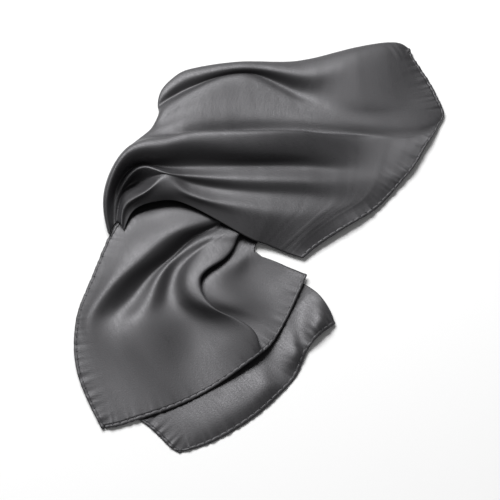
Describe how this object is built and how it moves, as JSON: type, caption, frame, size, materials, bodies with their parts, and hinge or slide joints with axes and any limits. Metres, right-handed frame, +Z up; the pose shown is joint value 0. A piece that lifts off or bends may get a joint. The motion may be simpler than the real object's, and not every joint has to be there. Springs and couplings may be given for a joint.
{
  "type": "square satin scarf",
  "caption": "Square satin scarf with rolled hems, folded in half to a band and dropped in a loose turn on a flat surface.",
  "frame": {"origin": "centre of the bounding box, at the surface the scarf lies on", "axes": "+Z up from the surface, +Y away from the viewer along the heap's longest extent, +X to the viewer's right"},
  "size_m": [0.4257, 0.5471, 0.0382],
  "materials": {
    "satin": "charcoal satin with a broad, soft sheen",
    "hem": "the same satin, rolled and hand stitched"
  },
  "bodies": {
    "root": {"upper_front_layer": "satin", "upper_back_layer": "satin", "hidden_layers": "satin", "lower_front_layer": "satin", "lower_back_layer": "satin", "hem_upper_front": "hem", "hem_upper_back": "hem", "hem_lower_front_side": "hem", "hem_lower_front_end": "hem", "hem_lower_back_side": "hem", "hem_lower_back_end": "hem"}
  },
  "joints": []
}
